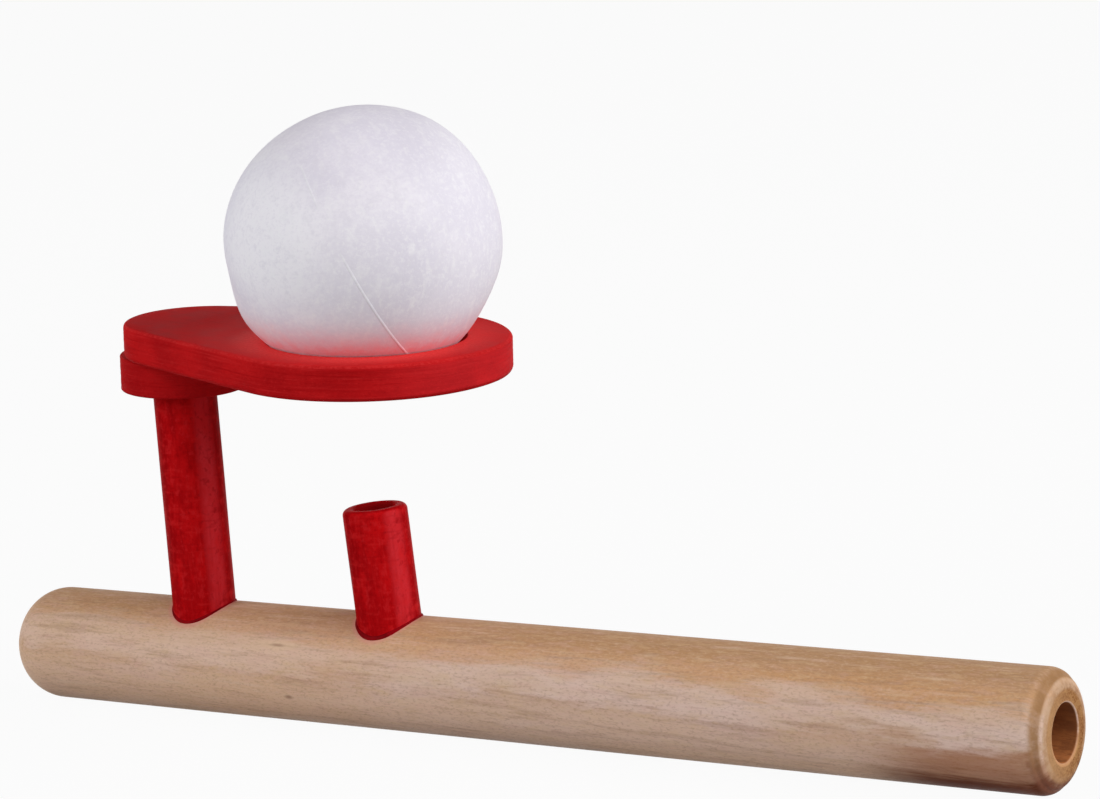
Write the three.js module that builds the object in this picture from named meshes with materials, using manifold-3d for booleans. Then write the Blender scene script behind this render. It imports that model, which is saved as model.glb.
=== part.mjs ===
// Blow ball pipe toy.
// Blowing into the mouthpiece sends air along the bore and up the nozzle tube, and the air lifts the
// foam ball off the hoop that holds it.
//
// Units are millimetres. The pipe lies along X and its mouthpiece faces +X. The origin is the centre
// of the mouthpiece end, and the nozzle tube and the post point along +Z.

import * as THREE from 'three';
import { mergeVertices } from 'three/addons/utils/BufferGeometryUtils.js';
import Module from 'manifold-3d';

const wasm = await Module();
wasm.setup();

// Fits between pieces
const fitGap = 0.3; // glue and running clearance around every seat
const cutOverrun = 2; // how far a cutter passes the face that it opens

// Pipe
const pipeDiameter = 18;
const pipeLength = 185;
const closedEndRound = 7.3; // edge radius of the far, closed end
const mouthRound = 3; // edge radius of the mouthpiece end
const boreDiameter = 8.4;
const boreEdgeRound = 0.5;
const borePastNozzle = 3; // blind end of the bore, past the air passage
const drillOffset = 0.9; // both dowels stand this far off the pipe's middle, toward -Y

// Nozzle tube
const nozzleSetback = 112; // mouthpiece end to nozzle axis, along the pipe axis
const nozzleDiameter = 10;
const nozzleBoreDiameter = 6.4;
const nozzleRise = 17.4; // above the pipe's crown
const nozzleSeatDepth = 4.4; // below the pipe's crown
const nozzleEdgeRound = 0.4;
const nozzleLean = THREE.MathUtils.degToRad(3.4); // its top leans toward the post

// Post
const postSpacing = 36.4; // nozzle axis to post axis, along the pipe
const postDiameter = 10;
const postSeatDepth = 10; // below the pipe's crown
const postIntoPlate = 2.6; // length of post inside the plate's blind seat

// Collar under the hoop plate
const collarHeight = 34.8; // underside above the pipe's crown
const collarDiameter = 19.7;
const collarThickness = 5.5;
const collarEdgeRound = 0.4;

// Hoop plate
const plateThickness = 5.2;
const narrowEndDiameter = 24.6;
const narrowEndOffset = 4.1; // post axis to the centre of the narrow end
const ringDiameter = 44.4;
const ringOffset = 35.4; // post axis to the centre of the ring
const holeDiameter = 30.6;
const plateEdgeRound = 0.4;
const hoopDroop = THREE.MathUtils.degToRad(3.4); // the ring end sits a little low

// Ball
const ballDiameter = 42;

// Facets
const pipeSegments = 64;
const dowelSegments = 48;
const hoopSegments = 48;
const ballSegments = 48;
const roundSteps = 8;
const smallRoundSteps = 2;

// Colours and finishes
const paleWood = new THREE.MeshStandardMaterial({ color: 0xc4a27c, roughness: 0.55, metalness: 0 });
const redWood = new THREE.MeshStandardMaterial({ color: 0xb01820, roughness: 0.45, metalness: 0 });
const whiteFoam = new THREE.MeshStandardMaterial({ color: 0xe9e7f0, roughness: 0.85, metalness: 0 });

// Sizes that follow from the ones above
const pipeRadius = pipeDiameter / 2;
const boreRadius = boreDiameter / 2;
const nozzleRadius = nozzleDiameter / 2;
const nozzleBoreRadius = nozzleBoreDiameter / 2;
const postRadius = postDiameter / 2;
const collarRadius = collarDiameter / 2;
const ballRadius = ballDiameter / 2;
const postSetback = nozzleSetback + postSpacing;
const boreDepth = nozzleSetback + nozzleBoreRadius + borePastNozzle;

// Points of a quarter round from angle a to angle b about a centre, for a lathe profile
function arc(centreR, centreY, radius, a, b, steps) {
  const points = [];
  for (let i = 0; i <= steps; i += 1) {
    const angle = a + ((b - a) * i) / steps;
    points.push(new THREE.Vector2(centreR + radius * Math.cos(angle), centreY + radius * Math.sin(angle)));
  }
  return points;
}

// A closed mesh as a solid that can be cut
function toSolid(geometry) {
  const bare = geometry.clone();
  bare.deleteAttribute('normal');
  bare.deleteAttribute('uv');
  const merged = mergeVertices(bare);
  return new wasm.Manifold(new wasm.Mesh({
    numProp: 3,
    vertProperties: Float32Array.from(merged.attributes.position.array),
    triVerts: Uint32Array.from(merged.index.array),
  }));
}

function toGeometry(solid) {
  const mesh = solid.getMesh();
  const geometry = new THREE.BufferGeometry();
  geometry.setAttribute('position', new THREE.BufferAttribute(mesh.vertProperties, 3));
  geometry.setIndex(new THREE.BufferAttribute(mesh.triVerts, 1));
  geometry.computeVertexNormals();
  return geometry;
}

function cut(geometry, cutters) {
  let solid = toSolid(geometry);
  for (const cutter of cutters) {
    solid = solid.subtract(toSolid(cutter));
  }
  return toGeometry(solid);
}

// A round bar along +Z from bottom to top, with both rims rounded
function roundedBar(radius, bottom, top, edgeRound, segments) {
  const halfTurn = Math.PI / 2;
  const profile = [
    new THREE.Vector2(0, bottom),
    ...arc(radius - edgeRound, bottom + edgeRound, edgeRound, -halfTurn, 0, smallRoundSteps),
    ...arc(radius - edgeRound, top - edgeRound, edgeRound, 0, halfTurn, smallRoundSteps),
    new THREE.Vector2(0, top),
  ];
  const bar = new THREE.LatheGeometry(profile, segments);
  bar.rotateX(halfTurn);
  return bar;
}

// A plain round cutter along +Z from bottom to top
function drill(radius, bottom, top, segments) {
  const length = top - bottom;
  const cutter = new THREE.CylinderGeometry(radius, radius, length, segments);
  cutter.rotateX(Math.PI / 2);
  cutter.translate(0, 0, bottom + length / 2);
  return cutter;
}

// The pipe, turned about its own axis: closed at the far end, bored from the mouthpiece end
function pipeBody() {
  const quarter = Math.PI / 2;
  const farCentre = -pipeLength + closedEndRound;
  const profile = [
    new THREE.Vector2(0, -pipeLength),
    ...arc(pipeRadius - closedEndRound, farCentre, closedEndRound, -quarter, 0, roundSteps),
    ...arc(pipeRadius - mouthRound, -mouthRound, mouthRound, 0, quarter, roundSteps),
    ...arc(boreRadius + boreEdgeRound, -boreEdgeRound, boreEdgeRound, quarter, 2 * quarter, smallRoundSteps),
    new THREE.Vector2(boreRadius, -boreDepth),
    new THREE.Vector2(0, -boreDepth),
  ];
  const body = new THREE.LatheGeometry(profile, pipeSegments);
  body.rotateZ(-quarter);
  return body;
}

// Drill cutters in the pipe, each placed on its own axis
const nozzleFoot = pipeRadius - nozzleSeatDepth;
const nozzleSeat = drill(nozzleRadius + fitGap, nozzleFoot, pipeRadius + cutOverrun, dowelSegments);
const airPassage = drill(nozzleBoreRadius, 0, nozzleFoot + cutOverrun, dowelSegments);
for (const cutter of [nozzleSeat, airPassage]) {
  cutter.rotateY(-nozzleLean);
  cutter.translate(-nozzleSetback, -drillOffset, 0);
}
const postFoot = pipeRadius - postSeatDepth;
const postSeat = drill(postRadius + fitGap, postFoot, pipeRadius + cutOverrun, dowelSegments);
postSeat.translate(-postSetback, -drillOffset, 0);

const pipe = new THREE.Mesh(cut(pipeBody(), [nozzleSeat, airPassage, postSeat]), paleWood);
pipe.name = 'pipe';

// Nozzle tube, standing in its seat
const nozzleTop = pipeRadius + nozzleRise;
const nozzleTube = new THREE.Mesh(
  cut(
    roundedBar(nozzleRadius, nozzleFoot + fitGap, nozzleTop, nozzleEdgeRound, dowelSegments),
    [drill(nozzleBoreRadius, nozzleFoot - cutOverrun, nozzleTop + cutOverrun, dowelSegments)],
  ),
  redWood,
);
nozzleTube.name = 'nozzle_tube';
nozzleTube.position.set(-nozzleSetback, -drillOffset, 0);
nozzleTube.rotation.y = -nozzleLean;

// The hoop group has its origin on the post axis, at the collar's underside. Its X axis runs from the
// post to the ring and droops a little.
const hoop = new THREE.Group();
hoop.position.set(-postSetback, -drillOffset, pipeRadius + collarHeight);
hoop.rotation.y = hoopDroop;
const plateBottom = collarThickness + fitGap;
const plateTop = plateBottom + plateThickness;

// Post, from its seat in the pipe up into the plate's blind seat
const postTop = pipeRadius + collarHeight + plateBottom + postIntoPlate;
const post = new THREE.Mesh(
  drill(postRadius, postFoot + fitGap, postTop, dowelSegments),
  redWood,
);
post.name = 'post';
post.position.set(-postSetback, -drillOffset, 0);

// The seat for the post in the collar and the plate stands upright, so it is turned back in the hoop
function postSeatInHoop() {
  const seat = drill(postRadius + fitGap, -cutOverrun, plateBottom + postIntoPlate + fitGap, dowelSegments);
  seat.rotateY(-hoopDroop);
  return seat;
}

const collar = new THREE.Mesh(
  cut(roundedBar(collarRadius, 0, collarThickness, collarEdgeRound, dowelSegments), [postSeatInHoop()]),
  redWood,
);
collar.name = 'collar';

// Outline of the hoop plate: a small and a large circle joined by their common tangents
function plateOutline() {
  const narrowRadius = narrowEndDiameter / 2;
  const ringRadius = ringDiameter / 2;
  const span = ringOffset - narrowEndOffset;
  const tangent = Math.acos((narrowRadius - ringRadius) / span);
  const outline = new THREE.Shape();
  outline.absarc(ringOffset, 0, ringRadius, -tangent, tangent, false);
  outline.absarc(narrowEndOffset, 0, narrowRadius, tangent, 2 * Math.PI - tangent, false);
  outline.closePath();
  const hole = new THREE.Path();
  hole.absarc(ringOffset, 0, holeDiameter / 2, 0, 2 * Math.PI, true);
  outline.holes.push(hole);
  return outline;
}

const plateGeometry = new THREE.ExtrudeGeometry(plateOutline(), {
  depth: plateThickness - 2 * plateEdgeRound,
  curveSegments: hoopSegments,
  bevelEnabled: true,
  bevelThickness: plateEdgeRound,
  bevelSize: plateEdgeRound,
  bevelOffset: -plateEdgeRound,
  bevelSegments: smallRoundSteps,
});
plateGeometry.translate(0, 0, plateBottom + plateEdgeRound);
const hoopPlate = new THREE.Mesh(cut(plateGeometry, [postSeatInHoop()]), redWood);
hoopPlate.name = 'hoop_plate';

// Foam ball, seated on the rim of the hole
const seatRadius = holeDiameter / 2 + plateEdgeRound;
const ballRise = Math.sqrt((ballRadius + fitGap) ** 2 - seatRadius ** 2);
const ball = new THREE.Mesh(
  new THREE.SphereGeometry(ballRadius, ballSegments, ballSegments / 2),
  whiteFoam,
);
ball.name = 'ball';
ball.position.set(ringOffset, 0, plateTop + ballRise);

hoop.add(collar, hoopPlate, ball);

const toy = new THREE.Group();
toy.add(pipe, nozzleTube, post, hoop);

export default toy;
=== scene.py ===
"""Blow ball pipe toy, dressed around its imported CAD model.

Blowing into the mouthpiece sends air along the pipe and up the nozzle tube, and the air floats the foam
ball off the hoop. Lengths are written in millimetres and turned into metres by MM. The pipe lies along X
with its mouthpiece at the origin, and the nozzle tube and the post stand along Z.
"""

import math

import bmesh
import bpy
from mathutils import Matrix, Vector, noise


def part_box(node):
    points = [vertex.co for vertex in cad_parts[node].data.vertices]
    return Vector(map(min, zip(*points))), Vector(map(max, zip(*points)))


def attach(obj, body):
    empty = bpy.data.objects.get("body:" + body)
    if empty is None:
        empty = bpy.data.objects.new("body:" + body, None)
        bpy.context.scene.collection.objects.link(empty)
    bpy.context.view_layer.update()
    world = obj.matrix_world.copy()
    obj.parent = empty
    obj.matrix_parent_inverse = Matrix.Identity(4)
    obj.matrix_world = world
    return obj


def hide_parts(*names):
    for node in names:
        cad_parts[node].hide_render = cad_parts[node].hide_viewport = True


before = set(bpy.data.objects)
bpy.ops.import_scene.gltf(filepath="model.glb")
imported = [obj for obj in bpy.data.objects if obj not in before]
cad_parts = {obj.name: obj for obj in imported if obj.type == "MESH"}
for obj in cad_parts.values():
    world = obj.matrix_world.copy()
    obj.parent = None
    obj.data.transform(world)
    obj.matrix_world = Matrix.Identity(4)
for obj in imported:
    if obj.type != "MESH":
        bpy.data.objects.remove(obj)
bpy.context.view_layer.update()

MM = 0.001

# Sizes that come from the frame
pipe_low, pipe_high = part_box("pipe")
post_low, post_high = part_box("post")
ball_low, ball_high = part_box("ball")
PIPE_RADIUS = pipe_high[2]
PIPE_LENGTH = -pipe_low[0]
POST_RADIUS = (post_high[0] - post_low[0]) / 2
POST_X = (post_high[0] + post_low[0]) / 2
POST_Y = (post_high[1] + post_low[1]) / 2
POST_FOOT = post_low[2]
POST_TOP = post_high[2]
BALL_RADIUS = (ball_high[2] - ball_low[2]) / 2
BALL_CENTRE = Vector([(low + high) / 2 for low, high in zip(ball_low, ball_high)])

# How fine the meshes are
PIPE_SEGMENTS = 144
COLLAR_SEGMENTS = 128
DOWEL_SEGMENTS = 96
EDGE_STEPS = 6  # points round a small edge's rounding, and more on the larger ones below
LIP_STEPS = 8
CLOSED_END_STEPS = 24
MOUTH_STEPS = 36
BALL_SUBDIVISIONS = 6
SHARP_ANGLE = math.radians(40)  # an edge that turns by more is shown crisp

# Pipe
CLOSED_END_ROUND = 7.3 * MM
MOUTH_ROUND = 3 * MM
BORE_RADIUS = 4.2 * MM
BORE_DEPTH = 118.2 * MM
BORE_EDGE_ROUND = 0.35 * MM
MOUTH_GROOVE = 0.13 * MM  # depth of the shallow groove that runs round on the mouth's rounding
MOUTH_GROOVE_TURN = math.radians(42)  # where it runs: 0 is the pipe's side, a quarter turn the rim
MOUTH_GROOVE_SPREAD = math.radians(8)
MOUTH_CREASE = 0.12  # share of the mouth's quarter round left out, so that the rim has a crisp edge
PIPE_ROW_SPACING = 1.6 * MM
BORE_ROW_SPACING = 4 * MM
PIPE_SANDING = 0.025 * MM  # unevenness of the sanded pipe, and the lengths over which it changes
PIPE_SANDING_SPREAD = (5 * MM, 5 * MM, 22 * MM)
PIPE_SANDED_FROM = 6.5 * MM  # radius on the rim inside which nothing is sanded, so the bore stays round

# Nozzle tube and post
NOZZLE_X = -112 * MM
NOZZLE_RADIUS = 5 * MM
NOZZLE_BORE = 3.2 * MM
NOZZLE_TOP = 26.4 * MM
NOZZLE_FOOT = 4.7 * MM
NOZZLE_LEAN = math.radians(3.4)
NOZZLE_LIP = 0.9 * MM  # rounding outside its top, and NOZZLE_INNER_LIP inside
NOZZLE_INNER_LIP = 0.5 * MM
DOWEL_ROW_SPACING = 0.8 * MM
NOZZLE_ROW_SPACING = 1 * MM  # in its bore
DOWEL_SANDING = 0.02 * MM  # the seats in the pipe are wider by as much
NOZZLE_SANDING_SPREAD = (2 * MM, 2 * MM, 9 * MM)
POST_SANDING_SPREAD = (2 * MM, 2 * MM, 12 * MM)

# Beads of stained glue round the feet of the dowels: how far they reach out and up
NOZZLE_BEAD = (0.32 * MM, 0.38 * MM)
POST_BEAD = (0.22 * MM, 0.3 * MM)
BEAD_UNEVENNESS = 0.5  # share by which a bead swells and thins on its way round
BEAD_SHARP_ANGLE = math.radians(60)

# Collar and hoop plate, in the drooping frame whose origin is under the collar on the post's axis
HOOP_HEIGHT = 34.8 * MM
HOOP_DROOP = math.radians(3.4)
COLLAR_RADIUS = 9.85 * MM
COLLAR_THICKNESS = 5.5 * MM
COLLAR_EDGE_ROUND = 0.25 * MM
COLLAR_ROW_SPACING = 0.3 * MM
SEAM_GAP = 0.04 * MM  # what shows between the collar and the plate
PLATE_TOP = 11 * MM
NARROW_RADIUS = 12.3 * MM
NARROW_OFFSET = 4.1 * MM
RING_RADIUS = 22.2 * MM
RING_OFFSET = 35.4 * MM
HOLE_RADIUS = 15.3 * MM
PLATE_EDGE_ROUND = 0.7 * MM
HOLE_EDGE_ROUND = 0.25 * MM
PLATE_POINT_SPACING = 0.55 * MM
PLATE_ROW_SPACING = 0.16 * MM
HOLE_ROW_SPACING = 1 * MM
PLATE_FACE_ROWS = 12

# The saw's lines round the collar and the plate, its slower waver, and the sanding of the plate's faces
SAW_MARKS = 0.045 * MM
COLLAR_SAW_SPREAD = (6 * MM, 6 * MM, 0.5 * MM)
PLATE_SAW_SPREAD = (16 * MM, 16 * MM, 0.42 * MM)
SAW_WAVER = 1.5 * SAW_MARKS
SAW_WAVER_SPREAD = (9 * MM, 9 * MM, 1)
FACE_SANDING = 0.03 * MM
FACE_SANDING_SPREAD = (7 * MM, 7 * MM, 1)

# Ball. Rows marked fitted are a program's fit to its outline in the photograph, rounded, and others are
# given
BALL_LUMPS = (  # where each high or flat place faces in degrees, how far it stands out, and its half width
    (122, -30, -0.45 * MM, 24),  # fitted
    (125, -12, 0.2 * MM, 12),
    (125, -5, 0.1 * MM, 24),  # fitted
    (135, 52, 0.35 * MM, 24),  # fitted
    (180, 80, -0.15 * MM, 24),  # fitted
    (-70, 62, -0.35 * MM, 24),  # fitted
    (-55, 7, 0.15 * MM, 24),  # fitted
    (-53, -8, -0.2 * MM, 12),
    (-51, -21, -0.25 * MM, 24),  # fitted
    (-50, -28, 0.65 * MM, 13),
    (-5, -20, -0.2 * MM, 24),
    (170, 5, -0.3 * MM, 24),
)
FOAM_BEAD_SPACING = 2.6 * MM
FOAM_BEAD_RELIEF = 0.015 * MM
FOAM_BEAD_GROOVE = 0.35  # width of the groove between two foam beads, as a share of their spacing
SEAM_FACING = Vector((0.8, 0.43, 0.41)).normalized()  # square to the plane of the mould's parting line
SEAM_WIDTH = 0.5 * MM
SEAM_HEIGHT = 0.09 * MM
SEAM_SINK = 0.02 * MM  # how deep its edges lie in the ball
SEAM_TOP = 0.12  # how high up the seam runs, as a share of the ball's radius, and over how much it fades
SEAM_FADE = 0.25
SEAM_PATCH_HEIGHT = 0.52  # the same for a faint patch of it higher up, and how strong that is
SEAM_PATCH_SPREAD = 0.24
SEAM_PATCH_STRENGTH = 0.55
SEAM_UNEVENNESS = 0.3
SEAM_UNEVENNESS_SPREAD = (0.12, 0.12, 0.12)

# Where each turned piece stands, as the frame that its mesh is made in, with its axis along Z
PIPE_PLACE = Matrix.Rotation(math.pi / 2, 4, "Y")
NOZZLE_PLACE = Matrix.Translation((NOZZLE_X, POST_Y, 0)) @ Matrix.Rotation(-NOZZLE_LEAN, 4, "Y")
POST_PLACE = Matrix.Translation((POST_X, POST_Y, 0))
HOOP_FOOT = Matrix.Translation((POST_X, POST_Y, PIPE_RADIUS + HOOP_HEIGHT))
HOOP_PLACE = HOOP_FOOT @ Matrix.Rotation(HOOP_DROOP, 4, "Y")


def towards(azimuth, elevation):
    """The direction at these degrees round and up. Azimuth 0 is in front of the pipe, towards -Y."""
    turn, lift = math.radians(azimuth), math.radians(elevation)
    return Vector((math.sin(turn) * math.cos(lift), -math.cos(turn) * math.cos(lift), math.sin(lift)))


# Mesh making

def quarter(centre_radius, centre_height, radius, start, end, steps):
    """Points of an arc in a turned profile, from one angle to another in quarter turns."""
    points = []
    for step in range(steps + 1):
        angle = (start + (end - start) * step / steps) * math.pi / 2
        points.append((centre_radius + radius * math.cos(angle), centre_height + radius * math.sin(angle)))
    return points


def straight(start, end, spacing):
    """Points between two ends of a straight stretch, without the ends."""
    steps = max(1, round(math.dist(start, end) / spacing))
    return [
        tuple(a + (b - a) * step / steps for a, b in zip(start, end))
        for step in range(1, steps)
    ]


def join_rows(mesh, rows):
    """Adds the faces between each row of points and the next. Every row is closed on itself."""
    for first, second in zip(rows, rows[1:]):
        for turn in range(len(first)):
            after = (turn + 1) % len(first)
            corners = [first[turn], first[after], second[after], second[turn]]
            mesh.faces.new(list(dict.fromkeys(corners)))


def turned(profile, segments, ring=False):
    """A mesh turned about Z from (radius, height) points. A ring's profile is closed on itself."""
    mesh = bmesh.new()
    rows = []
    for radius, height in profile:
        if radius == 0:
            rows.append([mesh.verts.new((0, 0, height))] * segments)
            continue
        rows.append([
            mesh.verts.new((
                radius * math.cos(2 * math.pi * turn / segments),
                radius * math.sin(2 * math.pi * turn / segments),
                height,
            ))
            for turn in range(segments)
        ])
    if ring:
        rows.append(rows[0])
    join_rows(mesh, rows)
    return mesh


def make_piece(name, mesh, place, material, sharp=SHARP_ANGLE):
    """Turns a bmesh into an object that stands at its place, smooth but for its sharp edges."""
    bmesh.ops.recalc_face_normals(mesh, faces=mesh.faces)
    data = bpy.data.meshes.new(name)
    mesh.to_mesh(data)
    mesh.free()
    data.shade_smooth()
    data.set_sharp_from_angle(angle=sharp)
    piece = bpy.data.objects.new(name, data)
    bpy.context.scene.collection.objects.link(piece)
    piece.matrix_world = place
    if material:
        data.materials.append(material)
    return piece


def cut_away(piece, cutters):
    """Takes the cutters' volumes out of a piece for good, and removes the cutters."""
    for cutter in cutters:
        modifier = piece.modifiers.new(cutter.name, "BOOLEAN")
        modifier.object = cutter
        modifier.operation = "DIFFERENCE"
        modifier.solver = "EXACT"
    bpy.context.view_layer.update()
    evaluated = piece.evaluated_get(bpy.context.evaluated_depsgraph_get())
    result = bpy.data.meshes.new_from_object(evaluated)
    piece.modifiers.clear()
    piece.data = result
    result.shade_smooth()
    result.set_sharp_from_angle(angle=SHARP_ANGLE)
    for cutter in cutters:
        bpy.data.objects.remove(cutter)


def drill(name, radius, foot, top, place):
    """A plain round cutter for a dowel's seat or bore."""
    profile = [(0, foot), (radius, foot), (radius, top), (0, top)]
    return make_piece(name, turned(profile, DOWEL_SEGMENTS), place, None)


def uneven(point, spread, amount):
    """A smooth value of up to amount, which changes over about these lengths along X, Y and Z."""
    return amount * noise.noise(Vector([part / length for part, length in zip(point, spread)]))


def roughen_turned(mesh, spread, amount, inner_radius=0):
    """Moves the outside of a turned mesh in and out a little, as sanding leaves it."""
    for vertex in mesh.verts:
        way = Vector((vertex.co.x, vertex.co.y, 0))
        if way.length > inner_radius:
            vertex.co += way.normalized() * uneven(vertex.co, spread, amount)


# Materials, in millimetres on the piece

def rgb(red, green, blue):
    return (red, green, blue, 1)


class Paint:
    """A material under construction: short calls that add a node and return its output."""

    def __init__(self, name):
        self.material = bpy.data.materials.new(name)
        self.material.use_nodes = True
        self.tree = self.material.node_tree
        self.shader = self.tree.nodes["Principled BSDF"]
        self.place = self.tree.nodes.new("ShaderNodeTexCoord")

    def give(self, socket, value):
        if isinstance(value, bpy.types.NodeSocket):
            self.tree.links.new(value, socket)
        else:
            socket.default_value = value

    def node(self, kind, inputs=(), output=0, **settings):
        made = self.tree.nodes.new("ShaderNode" + kind)
        for setting, value in settings.items():
            setattr(made, setting, value)
        for socket, value in dict(inputs).items():
            self.give(made.inputs[socket], value)
        return made.outputs[output]

    def split(self, vector):
        made = self.tree.nodes.new("ShaderNodeSeparateXYZ")
        self.give(made.inputs[0], vector)
        return made.outputs

    def stretched(self, scale, move=(0, 0, 0), turn=(0, 0, 0)):
        """Millimetres on the piece, scaled on each axis: a larger number makes finer detail."""
        turned_round = self.node("Mapping", {"Vector": self.place.outputs["Object"], "Rotation": turn})
        per_metre = tuple(share / MM for share in scale)
        return self.node("Mapping", {"Vector": turned_round, "Scale": per_metre, "Location": move})

    def position(self):
        return self.stretched((1, 1, 1))

    def reach(self, way):
        """How far each point lies in a direction."""
        return self.node("VectorMath", {0: self.position(), 1: way}, "Value", operation="DOT_PRODUCT")

    def facing_z(self):
        """1 where the surface faces the piece's +Z, and -1 where it faces the other way."""
        return self.split(self.place.outputs["Normal"])[2]

    def noise(self, vector, detail=2, roughness=0.5):
        inputs = {"Vector": vector, "Scale": 1, "Detail": detail, "Roughness": roughness}
        return self.node("TexNoise", inputs)

    def math(self, operation, a, b=0.0, c=0.0):
        return self.node("Math", {0: a, 1: b, 2: c}, operation=operation)

    def times(self, *shares):
        """The product of all the shares."""
        product = shares[0]
        for share in shares[1:]:
            product = self.math("MULTIPLY", product, share)
        return product

    def length(self, a, b):
        """Distance from the origin to (a, b)."""
        return self.math("SQRT", self.math("MULTIPLY_ADD", a, a, self.math("MULTIPLY", b, b)))

    def swayed(self, value, pattern, amount):
        """A value that a pattern moves up and down, by up to half the amount each way."""
        return self.math("MULTIPLY_ADD", self.math("SUBTRACT", pattern, 0.5), amount, value)

    def ramp(self, factor, low, high, start=0.0, end=1.0):
        """Maps low to high of a value onto start to end, held at the ends."""
        return self.node("MapRange", {
            "Value": factor, "From Min": low, "From Max": high, "To Min": start, "To Max": end,
        }, interpolation_type="SMOOTHSTEP")

    def blend(self, factor, a, b, kind="MIX"):
        made = self.tree.nodes.new("ShaderNodeMix")
        made.data_type = "RGBA"
        made.blend_type = kind
        self.give(made.inputs["Factor"], factor)
        for name, value in (("A", a), ("B", b)):
            self.give(next(put for put in made.inputs if put.name == name and put.type == "RGBA"), value)
        return next(out for out in made.outputs if out.type == "RGBA")

    def over(self, colour, tone, *shares):
        """Lays a tone over a colour, as strongly as all the shares together say."""
        return self.blend(self.times(*shares), colour, tone)

    def layers(self, colour, *layers):
        """Lays tones over a colour, each by a pattern, from where it starts to where it is full."""
        for pattern, start, full, strength, tone in layers:
            colour = self.over(colour, tone, self.ramp(pattern, start, full, 0, strength))
        return colour

    def tinted(self, colour, tint, share):
        """Multiplies a colour by a tint, as strongly as the share says."""
        return self.blend(share, colour, tint, "MULTIPLY")

    def bump(self, height, depth):
        """A bump whose height of 1 stands depth millimetres proud."""
        return self.node("Bump", {"Height": height, "Distance": depth * MM})

    def finish(self, colour, roughness, normal, specular):
        self.give(self.shader.inputs["Base Color"], colour)
        self.give(self.shader.inputs["Roughness"], roughness)
        self.give(self.shader.inputs["Normal"], normal)
        self.shader.inputs["Specular IOR Level"].default_value = specular
        return self.material


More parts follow.
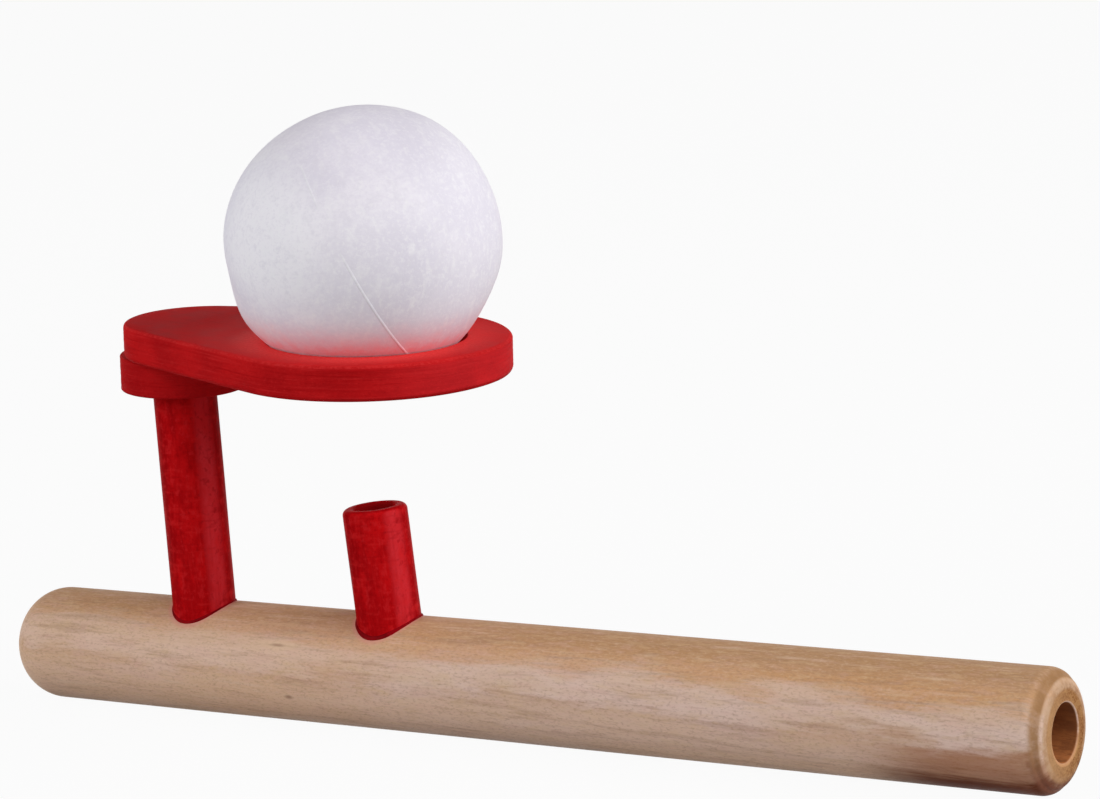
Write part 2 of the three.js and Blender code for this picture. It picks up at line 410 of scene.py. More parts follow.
class PaleWood(Paint):
    """Clear-finished pale hardwood. Z runs along the grain, with the mouthpiece end at 0, and X is down."""

    orange = rgb(0.62, 0.33, 0.145)
    brown = rgb(0.35, 0.2, 0.12)

    def __init__(self):
        super().__init__("pale_wood")
        self.x, self.y, self.z = self.split(self.position())
        self.from_axis = self.length(self.x, self.y)

        # Soft colour changes, blotches, streaks of grain, fibres, fine pores and flecks
        tilt = (math.radians(2), math.radians(-2), 0)
        self.mottle = self.noise(self.stretched((0.22, 0.22, 0.05), turn=tilt), detail=4, roughness=0.6)
        self.drift = self.noise(self.stretched((0.09, 0.09, 0.03), move=(7, 3, 1)), detail=3)
        self.blotch = self.noise(self.stretched((0.5, 0.5, 0.2), move=(2, 9, 4)), detail=4, roughness=0.65)
        self.streak = self.noise(self.stretched((0.9, 0.9, 0.05), turn=tilt), detail=4, roughness=0.65)
        self.fibre = self.noise(self.stretched((3.2, 3.2, 0.5), turn=tilt), detail=3, roughness=0.7)
        self.pores = self.noise(self.stretched((3.4, 3.4, 1.6)), detail=1, roughness=0.6)
        self.fleck = self.noise(self.stretched((1.1, 1.1, 0.3), move=(4, 6, 8)), detail=2, roughness=0.6)

        # How far down the pipe's side a point lies, wavy with the grain: the bands of colour follow it
        level = self.swayed(self.x, self.mottle, 9.0)
        level = self.math("MULTIPLY_ADD", self.z, -0.008, level)
        self.level = self.swayed(level, self.streak, 5.0)

        # Where the wood has no finish on it
        bore = BORE_RADIUS / MM
        self.facing_end = self.math("ABSOLUTE", self.facing_z())
        self.mouth_end = self.times(self.ramp(self.facing_end, 0.9, 0.99), self.ramp(self.z, -12.0, -8.0))
        past_bore = self.ramp(self.z, -140.0, -125.0)
        self.in_bore = self.times(self.ramp(self.from_axis, bore + 0.1, bore), past_bore)

    def base(self):
        """Rosy and tan by turns, with orange drifts and blotches."""
        rosy, tan = rgb(0.75, 0.535, 0.455), rgb(0.67, 0.45, 0.32)
        return self.layers(
            self.blend(self.ramp(self.mottle, 0.38, 0.62), rosy, tan),
            (self.drift, 0.5, 0.66, 0.35, self.orange),
            (self.blotch, 0.54, 0.68, 0.4, rgb(0.66, 0.47, 0.27)),
            (self.blotch, 0.46, 0.32, 0.4, rgb(0.68, 0.44, 0.38)),
        )

    def bands(self, colour):
        """Orange sapwood on top, wider towards the mouthpiece; painted shade on top, a painted highlight,
        paler bands below.
        """
        x, z, level = self.x, self.z, self.level
        to_mouth = self.ramp(z, -165.0, -40.0, 0.55, 1)
        for tone, strength, within in (
            (self.orange, self.ramp(level, -2.8, -6.4, 0, 0.8), to_mouth),
            # Painted shade: the very top darkened to brown
            (rgb(0.42, 0.24, 0.12), self.ramp(x, -6.0, -8.8, 0, 0.7), to_mouth),
            # Painted highlight: a pale rosy band along the upper middle of the side
            (rgb(0.84, 0.65, 0.56), self.ramp(level, -5.6, -3.2, 0, 0.4), self.ramp(level, 1.0, -1.5)),
            (rgb(0.8, 0.57, 0.44), self.ramp(level, 0.2, 3.2, 0, 0.7), self.ramp(level, 10.0, 7.5)),
            (rgb(0.97, 0.68, 0.49), self.ramp(z, -85.0, -55.0, 0, 0.6), self.ramp(x, 4.5, 7.0)),
        ):
            colour = self.over(colour, tone, strength, within)

        # The closed end is a little yellower
        return self.tinted(colour, rgb(1.0, 0.955, 0.87), self.ramp(z, -85.0, -140.0))

    def grain(self, colour):
        return self.layers(
            colour,
            (self.streak, 0.5, 0.7, 0.36, self.brown),
            (self.streak, 0.47, 0.3, 0.3, rgb(0.78, 0.59, 0.46)),
            (self.fibre, 0.5, 0.7, 0.26, self.brown),
            (self.pores, 0.54, 0.7, 0.26, self.brown),
            (self.pores, 0.45, 0.3, 0.16, rgb(0.8, 0.63, 0.52)),
            (self.fleck, 0.52, 0.68, 0.26, rgb(0.72, 0.5, 0.31)),
            (self.fleck, 0.48, 0.32, 0.2, rgb(0.74, 0.47, 0.4)),
        )

    def knots(self, colour):
        """Pin knots: where each is, how wide and long it is, how dark, and the pale grain round it."""
        near = self.ramp(self.y, 1.0, -1.0)
        for knot_x, knot_z, wide, long, dark, pale in (
            (-4.9, -129.4, 0.3, 2.0, 0.45, 0.6),
            (3.0, -127.4, 0.5, 1.1, 0.6, 0.0),
            (2.4, -1.8, 0.8, 0.6, 0.5, 0.0),
        ):
            across = self.math("MULTIPLY", self.math("SUBTRACT", self.x, knot_x), 1 / wide)
            along = self.math("MULTIPLY", self.math("SUBTRACT", self.z, knot_z), 1 / long)
            away = self.math("MULTIPLY_ADD", self.fibre, 0.9, self.length(across, along))
            if pale:
                colour = self.over(colour, rgb(0.78, 0.56, 0.38), self.ramp(away, 3.6, 1.6, 0, pale), near)
            colour = self.over(colour, rgb(0.22, 0.09, 0.06), self.ramp(away, 1.5, 0.6, 0, dark), near)
        return colour

    def heart_streak_and_shade(self, colour):
        """A reddish streak of heartwood low at the mouthpiece, with painted shade darkest underneath."""
        level = self.level
        near_mouth = self.ramp(self.z, -32.0, -14.0)
        colour = self.over(colour, rgb(0.36, 0.13, 0.05), self.ramp(level, -0.8, 2.6, 0, 0.7), near_mouth)
        # Painted shade: the underside darkened nearly to black
        return self.over(colour, rgb(0.14, 0.028, 0.007), self.ramp(level, 3.4, 6.8, 0, 0.95), near_mouth)

    def groove(self, colour):
        """Finish gathered in the groove round the mouth, with painted shade of the groove."""
        tone = self.blend(self.ramp(self.x, 0.0, 6.0), rgb(0.36, 0.19, 0.085), rgb(0.26, 0.1, 0.06))
        in_groove = self.times(self.ramp(self.z, -2.1, -1.2), self.ramp(self.z, -0.3, -0.65))
        return self.over(colour, tone, in_groove, self.ramp(self.blotch, 0.35, 0.6, 0.65, 0.95))

    def bleed(self, colour):
        """Red stain that has run a little way out from under the dowels."""
        on_top = self.ramp(self.x, -5.0, -6.0)
        for foot in (POST_X, NOZZLE_X - PIPE_RADIUS * math.tan(NOZZLE_LEAN)):
            across = self.math("SUBTRACT", self.y, POST_Y / MM)
            along = self.math("SUBTRACT", self.z, foot / MM)
            away = self.math("MULTIPLY_ADD", self.fibre, 0.5, self.length(across, along))
            colour = self.over(colour, rgb(0.72, 0.3, 0.25), self.ramp(away, 6.3, 5.6, 0, 0.6), on_top)
        return colour

    def ends(self, colour):
        """End grain drinks more of the finish, most of all at the mouth, whose face also has painted shade.
        """
        porous = self.ramp(self.pores, 0.35, 0.65)
        tone = self.blend(porous, rgb(0.4, 0.19, 0.075), rgb(0.22, 0.085, 0.03))
        tone = self.over(tone, rgb(0.5, 0.27, 0.11), self.ramp(self.blotch, 0.45, 0.6, 0, 0.5))
        tone = self.over(tone, rgb(0.52, 0.3, 0.15), self.ramp(self.y, 4.0, -5.0, 0, 0.6))
        colour = self.over(colour, tone, self.mouth_end)
        tone = self.blend(porous, rgb(0.6, 0.38, 0.22), rgb(0.36, 0.2, 0.11))
        closed_end = self.ramp(self.z, -178.0, -182.0)
        return self.over(colour, tone, self.ramp(self.facing_end, 0.7, 0.98, 0, 0.6), closed_end)

    def rim(self, colour):
        """Worn finish and painted highlight on the rim's outer edge; thinner finish at the bore's edge."""
        colour = self.over(
            colour,
            rgb(0.62, 0.42, 0.29),
            self.ramp(self.z, -0.6, -0.35),
            self.ramp(self.from_axis, 5.8, 6.5),
            self.ramp(self.blotch, 0.38, 0.62, 0.25, 0.7),
            self.ramp(self.x, 6.0, 1.0, 0.3, 1.0),
        )
        return self.over(
            colour,
            rgb(0.7, 0.36, 0.17),
            self.ramp(self.from_axis, 4.85, 4.6),
            self.ramp(self.z, -0.6, -0.3),
            self.ramp(self.x, -1.0, 4.0, 0.12, 0.6),
        )

    def bore(self, colour):
        """Bare wood in the bore, darkened with painted shade, darkest on the upper side."""
        tone = self.blend(self.ramp(self.x, -3.0, 3.5), rgb(0.3, 0.11, 0.04), rgb(0.5, 0.18, 0.06))
        tone = self.layers(
            tone,
            (self.blotch, 0.42, 0.6, 0.5, rgb(0.2, 0.07, 0.03)),
            (self.fibre, 0.5, 0.66, 0.5, rgb(0.24, 0.08, 0.03)),
        )
        return self.over(colour, tone, self.in_bore)


def pale_wood():
    """The pipe's wood, with everything on it in the order in which it came there."""
    wood = PaleWood()
    colour = wood.base()
    for add in (
        wood.bands, wood.grain, wood.knots, wood.heart_streak_and_shade,
        wood.groove, wood.bleed, wood.ends, wood.rim, wood.bore,
    ):
        colour = add(colour)
    bare = wood.math("MAXIMUM", wood.mouth_end, wood.in_bore)
    varnished = wood.ramp(wood.fibre, 0.3, 0.7, 0.34, 0.48)
    roughness = wood.math("MAXIMUM", varnished, wood.math("MULTIPLY", bare, 0.85))
    relief = wood.math("MULTIPLY_ADD", wood.fibre, 0.6, wood.math("MULTIPLY", wood.pores, 0.5))
    return wood.finish(colour, roughness, wood.bump(relief, 0.03), specular=0.015)


def red_dowel_wood():
    """Red stained dowel, with its fibres along Z and the mouthpiece on its +X side."""
    paint = Paint("red_dowel_wood")
    x, y, _ = paint.split(paint.position())
    fibre = paint.noise(paint.stretched((2.0, 2.0, 0.25)), detail=4, roughness=0.65)
    streak = paint.noise(paint.stretched((0.6, 0.6, 0.07)), detail=3)
    bands = paint.noise(paint.stretched((0.3, 0.3, 1.2)), detail=1)
    cloud = paint.noise(paint.stretched((0.3, 0.3, 0.14)), detail=4, roughness=0.65)
    speck = paint.noise(paint.stretched((1.1, 1.1, 0.9)), detail=2, roughness=0.6)
    dark = rgb(0.31, 0.001, 0.003)
    colour = paint.blend(paint.ramp(cloud, 0.36, 0.64), rgb(0.42, 0.003, 0.005), rgb(0.56, 0.005, 0.007))

    # Painted shade in dark strips down two sides, and a painted sheen as a lighter strip between them
    surface = NOZZLE_RADIUS / MM
    for azimuth, start, strength, stain in (
        (-30, 4.3, 0.85, dark),
        (99, 4.5, 0.7, dark),
        (69, 4.55, 0.75, rgb(0.72, 0.034, 0.045)),
    ):
        near = paint.ramp(paint.swayed(paint.reach(towards(azimuth, 0)), speck, 0.5), start, surface)
        colour = paint.over(colour, stain, near, paint.ramp(cloud, 0.38, 0.62, strength, strength * 0.5))

    # Fibres, turning marks and specks over them
    colour = paint.layers(
        colour,
        (streak, 0.5, 0.68, 0.5, dark),
        (fibre, 0.5, 0.7, 0.25, rgb(0.64, 0.016, 0.018)),
        (bands, 0.55, 0.75, 0.3, rgb(0.66, 0.02, 0.022)),
        (bands, 0.42, 0.28, 0.3, dark),
        (speck, 0.52, 0.7, 0.45, dark),
        (speck, 0.48, 0.3, 0.35, rgb(0.66, 0.02, 0.025)),
    )

    # Dark on the end grain, and painted shade in the nozzle's bore, least on the side nearest the
    # mouthpiece
    colour = paint.over(colour, dark, paint.ramp(paint.facing_z(), 0.6, 0.9, 0, 0.65))
    in_bore = paint.ramp(paint.length(x, y), 3.7, 3.3)
    colour = paint.over(colour, rgb(0.22, 0.002, 0.003), in_bore, paint.ramp(x, 2.6, 0.8, 0.25, 0.95))
    roughness = paint.ramp(cloud, 0.3, 0.7, 0.34, 0.46)
    relief = paint.math("MULTIPLY_ADD", bands, 0.5, fibre)
    return paint.finish(colour, roughness, paint.bump(relief, 0.03), specular=0.006)


def red_board_wood():
    """Red stained board in the hoop's frame: sanded faces, sawn sides, edges with wear and painted
    highlight.
    """
    paint = Paint("red_board_wood")
    x, y, z = paint.split(paint.position())
    facing_up = paint.math("ABSOLUTE", paint.facing_z())
    on_face = paint.ramp(facing_up, 0.75, 0.97)
    on_side = paint.ramp(facing_up, 0.4, 0.15)
    on_edge = paint.times(paint.ramp(facing_up, 0.25, 0.5), paint.ramp(facing_up, 0.985, 0.8))

    tilt = (0, 0, math.radians(14))
    grain = paint.noise(paint.stretched((0.07, 1.1, 1.1), turn=tilt), detail=4, roughness=0.65)
    saw = paint.noise(paint.stretched((0.07, 0.07, 2.6)), detail=4, roughness=0.7)
    cloud = paint.noise(paint.stretched((0.12, 0.12, 0.2)), detail=3, roughness=0.6)
    speck = paint.noise(paint.stretched((2.2, 2.2, 3.0)), detail=3, roughness=0.7)
    dark = rgb(0.34, 0.001, 0.003)
    light = rgb(0.7, 0.03, 0.032)
    colour = paint.blend(paint.ramp(cloud, 0.35, 0.65), rgb(0.43, 0.006, 0.008), rgb(0.54, 0.009, 0.011))
    colour = paint.over(colour, dark, paint.ramp(grain, 0.5, 0.72, 0, 0.36), on_face)
    colour = paint.over(colour, dark, paint.ramp(saw, 0.5, 0.7, 0, 0.5), on_side)
    colour = paint.over(colour, light, paint.ramp(saw, 0.46, 0.3, 0, 0.35), on_side)
    colour = paint.layers(colour, (speck, 0.54, 0.7, 0.32, dark), (speck, 0.45, 0.3, 0.24, light))

    # Painted light on the side round the ring's end
    colour = paint.over(colour, rgb(0.74, 0.045, 0.055), paint.ramp(x, 47.0, 58.0, 0, 0.22), on_side)
    # Lighter along the plate's upper edges: wear, and painted highlight on their rounding
    edge_wear_and_highlight = paint.times(on_edge, paint.ramp(speck, 0.35, 0.65, 0, 0.4), paint.ramp(z, 8.0, 10.0))
    colour = paint.over(colour, rgb(0.78, 0.05, 0.05), edge_wear_and_highlight)
    # The collar and the plate's lowest edge darker: a thicker stain on the collar, and painted shade under
    # the plate
    colour = paint.over(colour, rgb(0.22, 0.001, 0.003), paint.ramp(z, 6.5, 5.5, 0, 0.2))

    # Painted light round the hole, brightest at its edge as a painted reflection of the ball, least on one
    # quarter
    past_middle = paint.math("SUBTRACT", x, RING_OFFSET / MM)
    from_middle = paint.length(past_middle, y)
    colour = paint.over(colour, light, paint.ramp(from_middle, 32.0, 22.0, 0, 0.35), on_face)
    colour = paint.over(
        colour,
        rgb(0.93, 0.08, 0.078),
        paint.ramp(from_middle, 22.0, 16.5, 0, 0.85),
        paint.ramp(speck, 0.3, 0.6, 1.0, 0.6),
        on_face,
        paint.ramp(paint.math("ADD", past_middle, y), 12.0, 25.0, 1.0, 0.4),
    )
    roughness = paint.ramp(cloud, 0.3, 0.7, 0.5, 0.62)
    relief = paint.math("MULTIPLY_ADD", paint.math("MULTIPLY", saw, on_side), 1.5, speck)
    return paint.finish(colour, roughness, paint.bump(relief, 0.035), specular=0.01)


def dark_glue_and_shade():
    """Glue that the red stain has run into, a little glossier than the wood, painted dark as shade at the
    foot.
    """
    paint = Paint("stained_glue_and_shade")
    lumps = paint.noise(paint.stretched((0.5, 0.5, 0.5)))
    colour = paint.blend(paint.ramp(lumps, 0.35, 0.65), rgb(0.17, 0.001, 0.003), rgb(0.27, 0.002, 0.005))
    roughness = paint.ramp(lumps, 0.3, 0.7, 0.45, 0.55)
    return paint.finish(colour, roughness, paint.bump(lumps, 0.02), specular=0.02)


def white_foam(name, light, shade):
    """Expanded polystyrene, pressed smooth in a mould and handled since."""
    paint = Paint(name)
    wide = paint.noise(paint.stretched((0.07, 0.07, 0.07), move=(5, 2, 7)), detail=3, roughness=0.55)
    mottle = paint.noise(paint.stretched((0.5, 0.5, 0.5)), detail=5, roughness=0.7)
    strokes = paint.noise(paint.stretched((0.12, 0.7, 0.4), turn=(0.4, 0.3, 0.6)), detail=3)
    grit = paint.noise(paint.stretched((1.7, 1.7, 1.7)), detail=3, roughness=0.7)
    colour = paint.blend(paint.ramp(wide, 0.36, 0.62), shade, light)

    # Painted shade in grey patches, painted light in a lighter patch, and mottling, strokes and grit over
    # all of it
    grey = rgb(0.76, 0.72, 0.82)
    colour = paint.layers(
        colour,
        (paint.reach(towards(40, -3)), 17.6, 20.8, 0.42, grey),
        (paint.reach(towards(71, -32)), 16.5, 20.5, 0.35, grey),
        (paint.reach(towards(11, -4)), 13.0, 1.0, 0.5, rgb(0.79, 0.755, 0.845)),
        (paint.reach(towards(-10, 10)), 17.0, 20.4, 1.0, rgb(0.985, 0.95, 1.0)),
        (mottle, 0.5, 0.66, 0.5, rgb(0.84, 0.805, 0.88)),
        (mottle, 0.48, 0.34, 0.4, rgb(0.955, 0.935, 0.975)),
        (strokes, 0.52, 0.7, 0.4, rgb(0.96, 0.94, 0.975)),
        (grit, 0.5, 0.66, 0.36, rgb(0.82, 0.785, 0.865)),
        (grit, 0.49, 0.34, 0.42, rgb(0.975, 0.955, 0.99)),
    )

    # Painted shade on top, and bluer on one side
    for way, tint in (
        (towards(33, 61), rgb(0.91, 0.9, 0.915)),
        (towards(-24, 10), rgb(0.975, 0.99, 1.0)),
    ):
        colour = paint.tinted(colour, tint, paint.ramp(paint.reach(way), 13.5, 20.0))

    # Painted red light reflected from the hoop, in a patchy band that ends just below where the ball rests
    hoop_up = HOOP_PLACE.col[2].xyz
    height = paint.math("MULTIPLY_ADD", mottle, 2.5, paint.reach(hoop_up))
    patchy = paint.times(paint.ramp(height, -18.5, -14.0), paint.ramp(mottle, 0.38, 0.6, 1.0, 0.7))
    colour = paint.over(colour, rgb(0.92, 0.4, 0.47), paint.ramp(height, -6.5, -12.5, 0, 0.36), patchy)
    colour = paint.over(colour, rgb(0.97, 0.26, 0.32), paint.ramp(height, -10.9, -13.4, 0, 0.52), patchy)
    roughness = paint.ramp(mottle, 0.3, 0.7, 0.75, 0.9)
    relief = paint.math("MULTIPLY_ADD", mottle, 0.7, paint.math("MULTIPLY", grit, 0.4))
    return paint.finish(colour, roughness, paint.bump(relief, 0.06), specular=0.2)


# Pieces

def make_pipe(material):
    """The pipe, with its bore, the air passage up to the nozzle and the seats of both dowels."""
    end_round = CLOSED_END_ROUND
    far_middle = end_round - PIPE_LENGTH
    mouth_middle = PIPE_RADIUS - MOUTH_ROUND
    rim = BORE_RADIUS + BORE_EDGE_ROUND
    profile = [(0, -PIPE_LENGTH)]
    profile += quarter(PIPE_RADIUS - end_round, far_middle, end_round, -1, 0, CLOSED_END_STEPS)
    profile += straight((PIPE_RADIUS, far_middle), (PIPE_RADIUS, -MOUTH_ROUND), PIPE_ROW_SPACING)
    for step in range(MOUTH_STEPS + 1):
        turn = math.pi / 2 * (1 - MOUTH_CREASE) * step / MOUTH_STEPS
        groove = math.exp(-(((turn - MOUTH_GROOVE_TURN) / MOUTH_GROOVE_SPREAD) ** 2))
        reach = MOUTH_ROUND - MOUTH_GROOVE * groove
        profile.append((mouth_middle + reach * math.cos(turn), reach * math.sin(turn) - MOUTH_ROUND))
    profile += [(mouth_middle + MOUTH_CREASE * MOUTH_ROUND, 0)]
    profile += quarter(rim, -BORE_EDGE_ROUND, BORE_EDGE_ROUND, 1, 2, EDGE_STEPS)
    profile += straight((BORE_RADIUS, -BORE_EDGE_ROUND), (BORE_RADIUS, -BORE_DEPTH), BORE_ROW_SPACING)
    profile += [(BORE_RADIUS, -BORE_DEPTH), (0, -BORE_DEPTH)]
    mesh = turned(profile, PIPE_SEGMENTS)
    roughen_turned(mesh, PIPE_SANDING_SPREAD, PIPE_SANDING, inner_radius=PIPE_SANDED_FROM)
    pipe = make_piece("wooden_pipe", mesh, PIPE_PLACE, material)
    cut_away(pipe, [
        drill("nozzle_seat", NOZZLE_RADIUS + DOWEL_SANDING, NOZZLE_FOOT, 2 * PIPE_RADIUS, NOZZLE_PLACE),
        drill("air_passage", NOZZLE_BORE, 0, 2 * PIPE_RADIUS, NOZZLE_PLACE),
        drill("post_seat", POST_RADIUS + DOWEL_SANDING, POST_FOOT, 2 * PIPE_RADIUS, POST_PLACE),
    ])
    return pipe


def make_nozzle(material):
    """The nozzle tube, open through its whole length."""
    foot, top, bore = NOZZLE_FOOT, NOZZLE_TOP, NOZZLE_BORE
    lip, inner_lip = NOZZLE_LIP, NOZZLE_INNER_LIP
    profile = [(bore, foot), (NOZZLE_RADIUS, foot)]
    profile += straight((NOZZLE_RADIUS, foot), (NOZZLE_RADIUS, top - lip), DOWEL_ROW_SPACING)
    profile += quarter(NOZZLE_RADIUS - lip, top - lip, lip, 0, 1, LIP_STEPS)
    profile += quarter(bore + inner_lip, top - inner_lip, inner_lip, 1, 2, EDGE_STEPS)
    profile += straight((bore, top - inner_lip), (bore, foot), NOZZLE_ROW_SPACING)
    mesh = turned(profile, DOWEL_SEGMENTS, ring=True)
    roughen_turned(mesh, NOZZLE_SANDING_SPREAD, DOWEL_SANDING)
    return make_piece("nozzle_dowel", mesh, NOZZLE_PLACE, material)


def make_post(material):
    """The post, from its seat in the pipe up into the hoop plate."""
    profile = [(0, POST_FOOT), (POST_RADIUS, POST_FOOT)]
    profile += straight((POST_RADIUS, POST_FOOT), (POST_RADIUS, POST_TOP), DOWEL_ROW_SPACING)
    profile += [(POST_RADIUS, POST_TOP), (0, POST_TOP)]
    mesh = turned(profile, DOWEL_SEGMENTS)
    roughen_turned(mesh, POST_SANDING_SPREAD, DOWEL_SANDING)
    return make_piece("post_dowel", mesh, POST_PLACE, material)


def make_bead(name, place, dowel_radius, size, material):
    """The bead of glue in the corner between a dowel and the pipe, all round the dowel's foot."""
    reach, rise = size
    around, across = 180, 8
    axis = place.to_3x3() @ Vector((0, 0, 1))

    def on_pipe(turn, radius):
        """Where a line beside the dowel's axis comes out of the pipe."""
        start = place @ Vector((radius * math.cos(turn), radius * math.sin(turn), 0))
        height = math.sqrt(PIPE_RADIUS**2 - start.y**2)
        return start + axis * ((height - start.z) / axis.z)

    mesh = bmesh.new()
    rings = []
    for step in range(around):
        turn = 2 * math.pi * step / around
        lumpy = 1 + uneven((math.cos(turn), math.sin(turn), 0), (0.7, 0.7, 1), BEAD_UNEVENNESS)
        corner = on_pipe(turn, dowel_radius)
        outwards = on_pipe(turn, dowel_radius + reach * lumpy) - corner
        upwards = axis * rise * lumpy
        ring = [corner - 0.5 * outwards - 0.5 * upwards]
        for part in range(across + 1):
            angle = math.pi / 2 * part / across
            ring.append(corner + outwards * math.cos(angle) + upwards * math.sin(angle))
        rings.append([mesh.verts.new(point) for point in ring])
    join_rows(mesh, rings + rings[:1])
    return make_piece(name, mesh, Matrix.Identity(4), material, sharp=BEAD_SHARP_ANGLE)


def make_collar(material):
    """The disc under the hoop plate, sawn round its edge."""
    edge = COLLAR_EDGE_ROUND
    top = COLLAR_THICKNESS
    profile = [(0, 0)]
    profile += quarter(COLLAR_RADIUS - edge, edge, edge, -1, 0, EDGE_STEPS)
    profile += straight((COLLAR_RADIUS, edge), (COLLAR_RADIUS, top - edge), COLLAR_ROW_SPACING)
    profile += quarter(COLLAR_RADIUS - edge, top - edge, edge, 0, 1, EDGE_STEPS)
    profile += [(0, top)]
    mesh = turned(profile, COLLAR_SEGMENTS)
    roughen_turned(mesh, COLLAR_SAW_SPREAD, SAW_MARKS)
    return make_piece("collar_disc", mesh, HOOP_PLACE, material)


def drop_outline(inset):
    """Points round the hoop plate's outline, moved inwards: two circles and their common tangents."""
    ring = RING_RADIUS - inset
    narrow = NARROW_RADIUS - inset
    span = RING_OFFSET - NARROW_OFFSET
    tangent = math.acos((narrow - ring) / span)
    ring_steps = round(2 * tangent * RING_RADIUS / PLATE_POINT_SPACING)
    narrow_steps = round(2 * (math.pi - tangent) * NARROW_RADIUS / PLATE_POINT_SPACING)
    side_steps = round(span * math.sin(tangent) / PLATE_POINT_SPACING)

    def on_ring(angle):
        return Vector((RING_OFFSET + ring * math.cos(angle), ring * math.sin(angle)))

    def on_narrow(angle):
        return Vector((NARROW_OFFSET + narrow * math.cos(angle), narrow * math.sin(angle)))

    points = [on_ring(tangent * (2 * step / ring_steps - 1)) for step in range(ring_steps)]
    points += [on_ring(tangent).lerp(on_narrow(tangent), step / side_steps) for step in range(side_steps)]
    points += [
        on_narrow(tangent + 2 * (math.pi - tangent) * step / narrow_steps) for step in range(narrow_steps)
    ]
    points += [on_narrow(-tangent).lerp(on_ring(-tangent), step / side_steps) for step in range(side_steps)]
    return points


def edge_profile(low, high, edge, spacing):
    """(inset, height) points up the side of a board, with both edges rounded."""
    points = [(edge - x, low + edge + z) for x, z in quarter(0, 0, edge, -1, 0, EDGE_STEPS)]
    points += straight((0, low + edge), (0, high - edge), spacing)
    points += [(edge - x, high - edge + z) for x, z in quarter(0, 0, edge, 0, 1, EDGE_STEPS)]
    return points


def make_hoop_plate(material):
    """The drop-shaped board with its hole, sawn round the outside and rounded at every edge."""
    low, high = COLLAR_THICKNESS + SEAM_GAP, PLATE_TOP
    outer = edge_profile(low, high, PLATE_EDGE_ROUND, PLATE_ROW_SPACING)
    inner = edge_profile(low, high, HOLE_EDGE_ROUND, HOLE_ROW_SPACING)
    centre = Vector((RING_OFFSET, 0))
    directions = [(point - centre).normalized() for point in drop_outline(0)]
    mesh = bmesh.new()

    def side_row(inset, height):
        row = []
        for point in drop_outline(inset):
            sawn = uneven((point.x, point.y, height), PLATE_SAW_SPREAD, SAW_MARKS)
            wavy = uneven((point.x, point.y, 0), SAW_WAVER_SPREAD, SAW_WAVER)
            spot = centre + (point - centre) * (1 + (sawn + wavy) / (point - centre).length)
            row.append(mesh.verts.new((*spot, height)))
        return row

    def hole_row(inset, height):
        radius = HOLE_RADIUS + inset
        return [mesh.verts.new((*(centre + radius * way), height)) for way in directions]

    def face_between(outside, inside, height):
        rows = []
        for step in range(1, PLATE_FACE_ROWS):
            spots = [a.co.lerp(b.co, step / PLATE_FACE_ROWS) for a, b in zip(outside, inside)]
            sanded = [uneven(spot, FACE_SANDING_SPREAD, FACE_SANDING) for spot in spots]
            rows.append([
                mesh.verts.new((spot.x, spot.y, height + rise)) for spot, rise in zip(spots, sanded)
            ])
        return rows

    rows = [side_row(inset, height) for inset, height in outer]
    hole = [hole_row(inset, height) for inset, height in reversed(inner)]
    rows += face_between(rows[-1], hole[0], high)
    rows += hole
    rows += face_between(rows[-1], rows[0], low)
    join_rows(mesh, rows + rows[:1])
    return make_piece("hoop_board", mesh, HOOP_PLACE, material)


def ball_surface(way):
    """The ball's radius in a direction: its high and flat places and the print of its foam beads."""
    radius = BALL_RADIUS
    for azimuth, elevation, height, width in BALL_LUMPS:
        angle = math.degrees(way.angle(towards(azimuth, elevation)))
        radius += height * math.exp(-((angle / width) ** 2))
    distances, _ = noise.voronoi(way * BALL_RADIUS / FOAM_BEAD_SPACING)
    groove = 1 - min(1, (distances[1] - distances[0]) / FOAM_BEAD_GROOVE)
    return radius - FOAM_BEAD_RELIEF * groove


def make_ball(material):
    """The ball, round but for its lumps, at the place where it rests in the hoop."""
    mesh = bmesh.new()
    bmesh.ops.create_icosphere(mesh, subdivisions=BALL_SUBDIVISIONS, radius=1)
    for vertex in mesh.verts:
        way = vertex.co.normalized()
        vertex.co = way * ball_surface(way)
    return make_piece("foam_ball", mesh, Matrix.Translation(BALL_CENTRE), material)


def seam_strength(height):
    """How much of the seam's ridge shows: all of it low on the ball, and a faint patch higher up."""
    low = min(1, max(-0.5, (SEAM_TOP - height) / SEAM_FADE))
    patch = SEAM_PATCH_STRENGTH - (abs(height - SEAM_PATCH_HEIGHT) / SEAM_PATCH_SPREAD) ** 2
    return max(low, patch)


def make_seam(material):
    """The low ridge that the mould's two halves left, round the ball's middle."""
    around, across = 360, 6
    first_way = SEAM_FACING.orthogonal().normalized()
    second_way = SEAM_FACING.cross(first_way)
    mesh = bmesh.new()
    rings = []
    for step in range(around):
        turn = 2 * math.pi * step / around
        way = first_way * math.cos(turn) + second_way * math.sin(turn)
        lumpy = seam_strength(way.z) + uneven(way, SEAM_UNEVENNESS_SPREAD, SEAM_UNEVENNESS)
        surface = ball_surface(way) - SEAM_SINK
        ring = []
        for part in range(across + 1):
            share = 2 * part / across - 1
            height = surface + SEAM_HEIGHT * lumpy * (1 - share * share)
            ring.append(way * height + SEAM_FACING * (share * SEAM_WIDTH / 2))
        ring.append(way * (surface - SEAM_WIDTH))
        rings.append([mesh.verts.new(point) for point in ring])
    join_rows(mesh, rings + rings[:1])
    return make_piece("foam_ball_seam", mesh, Matrix.Translation(BALL_CENTRE), material)


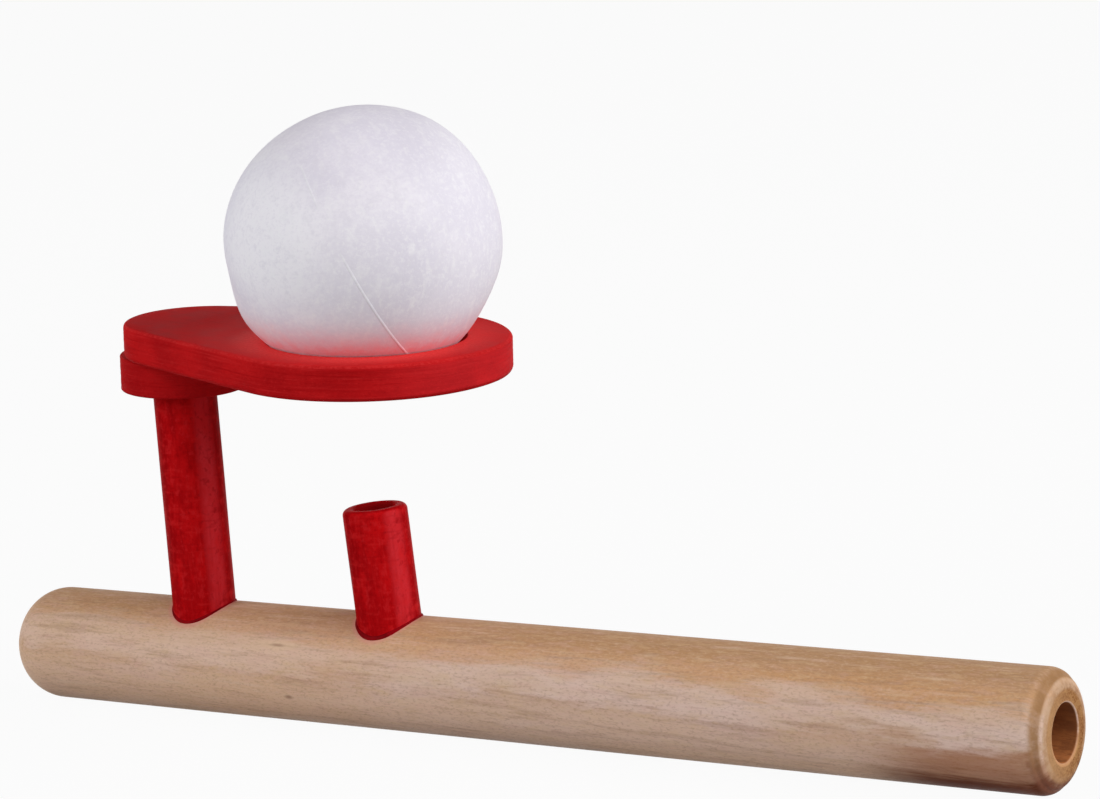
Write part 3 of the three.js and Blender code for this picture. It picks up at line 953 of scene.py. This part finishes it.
def make_toy():
    """Makes every piece, hangs it on its body and hides the CAD node it stands for. Its listed finish is
    unused.
    """
    dowel_red = red_dowel_wood()
    board_red = red_board_wood()
    glue = dark_glue_and_shade()
    foam = white_foam("white_foam", rgb(0.92, 0.885, 0.955), rgb(0.85, 0.815, 0.905))
    # Lighter foam for the seam's ridge, as a painted highlight along it
    seam_foam_highlight = white_foam("white_foam_seam_highlight", rgb(0.95, 0.935, 0.97), rgb(0.89, 0.87, 0.93))

    pipe = make_pipe(pale_wood())
    nozzle = make_nozzle(dowel_red)
    post = make_post(dowel_red)
    collar = make_collar(board_red)
    plate = make_hoop_plate(board_red)
    ball = make_ball(foam)
    nozzle_bead = make_bead("nozzle_glue_bead", NOZZLE_PLACE, NOZZLE_RADIUS, NOZZLE_BEAD, glue)
    post_bead = make_bead("post_glue_bead", POST_PLACE, POST_RADIUS, POST_BEAD, glue)
    seam = make_seam(seam_foam_highlight)

    for piece, body, slot, node in (
        (pipe, "pipe_body", "pale_wood", "pipe"),
        (nozzle, "pipe_body", "red_wood", "nozzle_tube"),
        (post, "pipe_body", "red_wood", "post"),
        (collar, "pipe_body", "red_wood", "collar"),
        (plate, "pipe_body", "red_wood", "hoop_plate"),
        (ball, "ball", "white_foam", "ball"),
        (nozzle_bead, "pipe_body", "red_wood", None),
        (post_bead, "pipe_body", "red_wood", None),
        (seam, "ball", "white_foam", None),
    ):
        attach(piece, body)
        if node:
            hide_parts(node)


# Stage

FLOOR_SIZE = 6.0
FLOOR_GAP = 0.03 * MM
FLOOR_WHITE = 0.95  # share of plain white that the camera sees, and the rest keeps the object's shadow
WORLD_LEVEL = 0.2
LAMP_DISTANCE = 1.0
LAMP_SIZE = 0.7
LAMPS = (  # name, azimuth, elevation, and a power that a program fitted to the photograph's levels
    ("right_lamp", 105, 30, 6.65),
    ("left_lamp", -35, 25, 5.0),
    ("front_lamp", 70, 25, 2.05),
)

# The camera, fitted to the photograph's edges
CAMERA_AZIMUTH = 33.2
CAMERA_ELEVATION = 10.3
CAMERA_ROLL = math.radians(-4.26)
CAMERA_DISTANCE = 548.7 * MM
CAMERA_TARGET = Vector((-80.68, 0, 43.96)) * MM
CAMERA_CLIP = (0.01, 50)
PHOTO_WIDTH = 1100
FOCAL_PIXELS = 3718.5
SENSOR_WIDTH = 36.0


def seen_white(tree):
    """1 for what the camera sees, straight or in gloss and glass, and 0 for the light on other things."""
    light_path = tree.nodes.new("ShaderNodeLightPath")
    seen = light_path.outputs["Is Camera Ray"]
    for other in ("Is Glossy Ray", "Is Transmission Ray"):
        either = tree.nodes.new("ShaderNodeMath")
        either.operation = "MAXIMUM"
        tree.links.new(seen, either.inputs[0])
        tree.links.new(light_path.outputs[other], either.inputs[1])
        seen = either.outputs[0]
    return seen


def make_floor():
    """A pale floor. The camera sees it near white, with the object's shadow left on it."""
    paint = Paint("floor_paper")
    paper = paint.noise(paint.stretched((0.4, 0.4, 0.4)), detail=3)
    grey = paint.blend(paper, rgb(0.49, 0.49, 0.49), rgb(0.51, 0.51, 0.51))
    paint.finish(grey, 0.9, paint.bump(paper, 0.02), specular=0.0)
    white = paint.node("Emission", {"Color": rgb(1, 1, 1), "Strength": 1.0})
    share = paint.math("MULTIPLY", seen_white(paint.tree), FLOOR_WHITE)
    mixed = paint.node("MixShader", {0: share, 1: paint.shader.outputs[0], 2: white})
    paint.tree.links.new(mixed, paint.tree.nodes["Material Output"].inputs["Surface"])

    mesh = bmesh.new()
    bmesh.ops.create_grid(mesh, x_segments=8, y_segments=8, size=FLOOR_SIZE / 2)
    floor = make_piece("floor", mesh, Matrix.Translation((0, 0, -PIPE_RADIUS - FLOOR_GAP)), paint.material)


def make_world():
    """White all round for the camera, and an even light of a lower level on the object."""
    world = bpy.data.worlds.new("studio")
    bpy.context.scene.world = world
    world.use_nodes = True
    tree = world.node_tree
    background = tree.nodes["Background"]
    background.inputs["Color"].default_value = rgb(1, 1, 1)
    strength = tree.nodes.new("ShaderNodeMapRange")
    strength.inputs["To Min"].default_value = WORLD_LEVEL
    strength.inputs["To Max"].default_value = 1.0
    tree.links.new(seen_white(tree), strength.inputs["Value"])
    tree.links.new(strength.outputs[0], background.inputs["Strength"])


def make_lamp(name, azimuth, elevation, power):
    """A square soft lamp that looks at the toy."""
    way = towards(azimuth, elevation)
    lamp = bpy.data.lights.new(name, "AREA")
    lamp.size = LAMP_SIZE
    lamp.energy = power
    holder = bpy.data.objects.new(name, lamp)
    holder.location = CAMERA_TARGET + LAMP_DISTANCE * way
    holder.rotation_euler = way.to_track_quat("Z", "Y").to_euler()
    bpy.context.scene.collection.objects.link(holder)


def make_camera():
    back = towards(CAMERA_AZIMUTH, CAMERA_ELEVATION)
    level_right = Vector((0, 0, 1)).cross(back).normalized()
    level_up = back.cross(level_right)
    right = math.cos(CAMERA_ROLL) * level_right + math.sin(CAMERA_ROLL) * level_up
    up = math.cos(CAMERA_ROLL) * level_up - math.sin(CAMERA_ROLL) * level_right
    lens = bpy.data.cameras.new("camera")
    lens.sensor_fit = "HORIZONTAL"
    lens.sensor_width = SENSOR_WIDTH
    lens.lens = FOCAL_PIXELS * SENSOR_WIDTH / PHOTO_WIDTH
    lens.clip_start, lens.clip_end = CAMERA_CLIP
    camera = bpy.data.objects.new("camera", lens)
    turn = Matrix((right, up, back)).transposed().to_4x4()
    camera.matrix_world = Matrix.Translation(CAMERA_TARGET + CAMERA_DISTANCE * back) @ turn
    bpy.context.scene.collection.objects.link(camera)
    bpy.context.scene.camera = camera


make_camera()
make_toy()
make_floor()
make_world()
for lamp in LAMPS:
    make_lamp(*lamp)
bpy.context.scene.view_settings.view_transform = "Standard"
